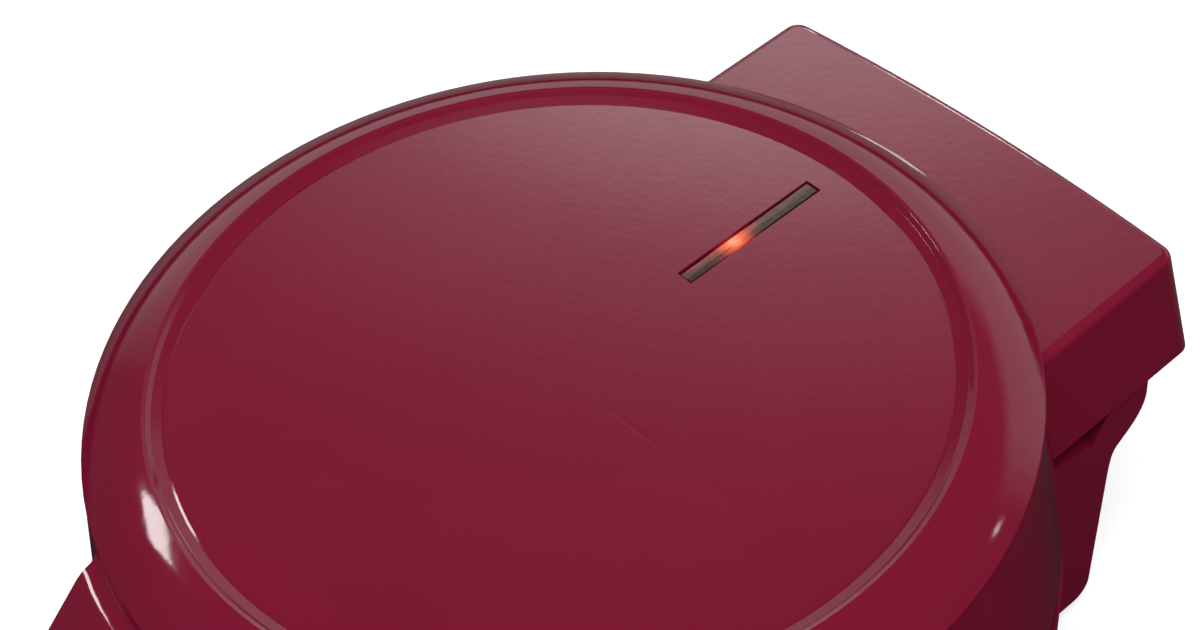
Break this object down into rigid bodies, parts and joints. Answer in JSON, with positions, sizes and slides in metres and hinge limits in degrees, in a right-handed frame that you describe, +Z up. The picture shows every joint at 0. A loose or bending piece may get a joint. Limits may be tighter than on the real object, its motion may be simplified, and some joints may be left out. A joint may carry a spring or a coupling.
{
  "type": "mini waffle maker",
  "caption": "Round countertop waffle maker with a glossy hinged lid, a sunk top panel with an indicator bar, grid plates, a hinge box and a rear leg.",
  "frame": {"origin": "on the ground under the centre of the round lid, which is within 1 mm of the centre of the bounding box's bottom", "axes": "+Z up, +Y towards the hinge, -Y towards the handle, +X to the right seen from the handle"},
  "size_m": [0.128, 0.1653, 0.076],
  "materials": {
    "glossy_red_plastic": "deep burgundy red moulded plastic with a mirror-like gloss",
    "black_plastic": "black heat-resistant plastic with a fine spark texture",
    "black_rubber": "soft black rubber",
    "non_stick_coating": "die-cast plate with a dark satin non-stick coating",
    "steel": "zinc-plated steel",
    "heater_sheath": "dull oxidised steel sheath",
    "sheet_metal": "bright rolled sheet",
    "lens_plastic": "smoky clear plastic with chamfered edges",
    "lamp_glass": "orange-red glowing glass",
    "white_ceramic": "off-white ceramic and phenolic bodies",
    "crimp_metal": "tinned brass",
    "lead_insulation": "white silicone or glass-fibre insulation"
  },
  "bodies": {
    "base": {"base_shell": "glossy_red_plastic", "base_carrier": "black_plastic", "base_carrier_screws": "steel", "bottom_cover": "black_plastic", "bottom_cover_screws": "steel", "front_feet": "black_rubber", "rear_feet": "black_rubber", "lower_plate": "non_stick_coating", "lower_plate_screws": "steel", "lower_heater": "heater_sheath", "lower_heat_shield": "sheet_metal", "thermostat": "white_ceramic", "thermostat_strip": "sheet_metal", "thermostat_screws": "steel", "thermal_fuse": "sheet_metal", "fuse_clip": "sheet_metal", "fuse_clip_screw": "steel", "cord_gland": "black_plastic", "cord_clamp": "black_plastic", "cord_clamp_screws": "steel", "crimp_connectors": "crimp_metal", "base_leads": "lead_insulation", "base_hinge_lead": "black_rubber", "hinge_pins": "steel"},
    "lid": {"lid_shell": "glossy_red_plastic", "lid_carrier": "black_plastic", "lid_carrier_screws": "steel", "upper_plate": "non_stick_coating", "upper_plate_screws": "steel", "upper_heater": "heater_sheath", "upper_heat_shield": "sheet_metal", "light_lens": "lens_plastic", "lamp_tray": "black_plastic", "lamp_tray_screws": "steel", "neon_lamp": "lamp_glass", "lamp_resistor": "white_ceramic", "lid_hinge_lead": "black_rubber", "lid_leads": "lead_insulation"}
  },
  "joints": [
    {"name": "lid_hinge", "type": "hinge", "parent": "base", "child": "lid", "pos_m": [0, 0.0735, 0.0434], "axis": [-1, 0, 0], "range_deg": [0, 95]}
  ]
}
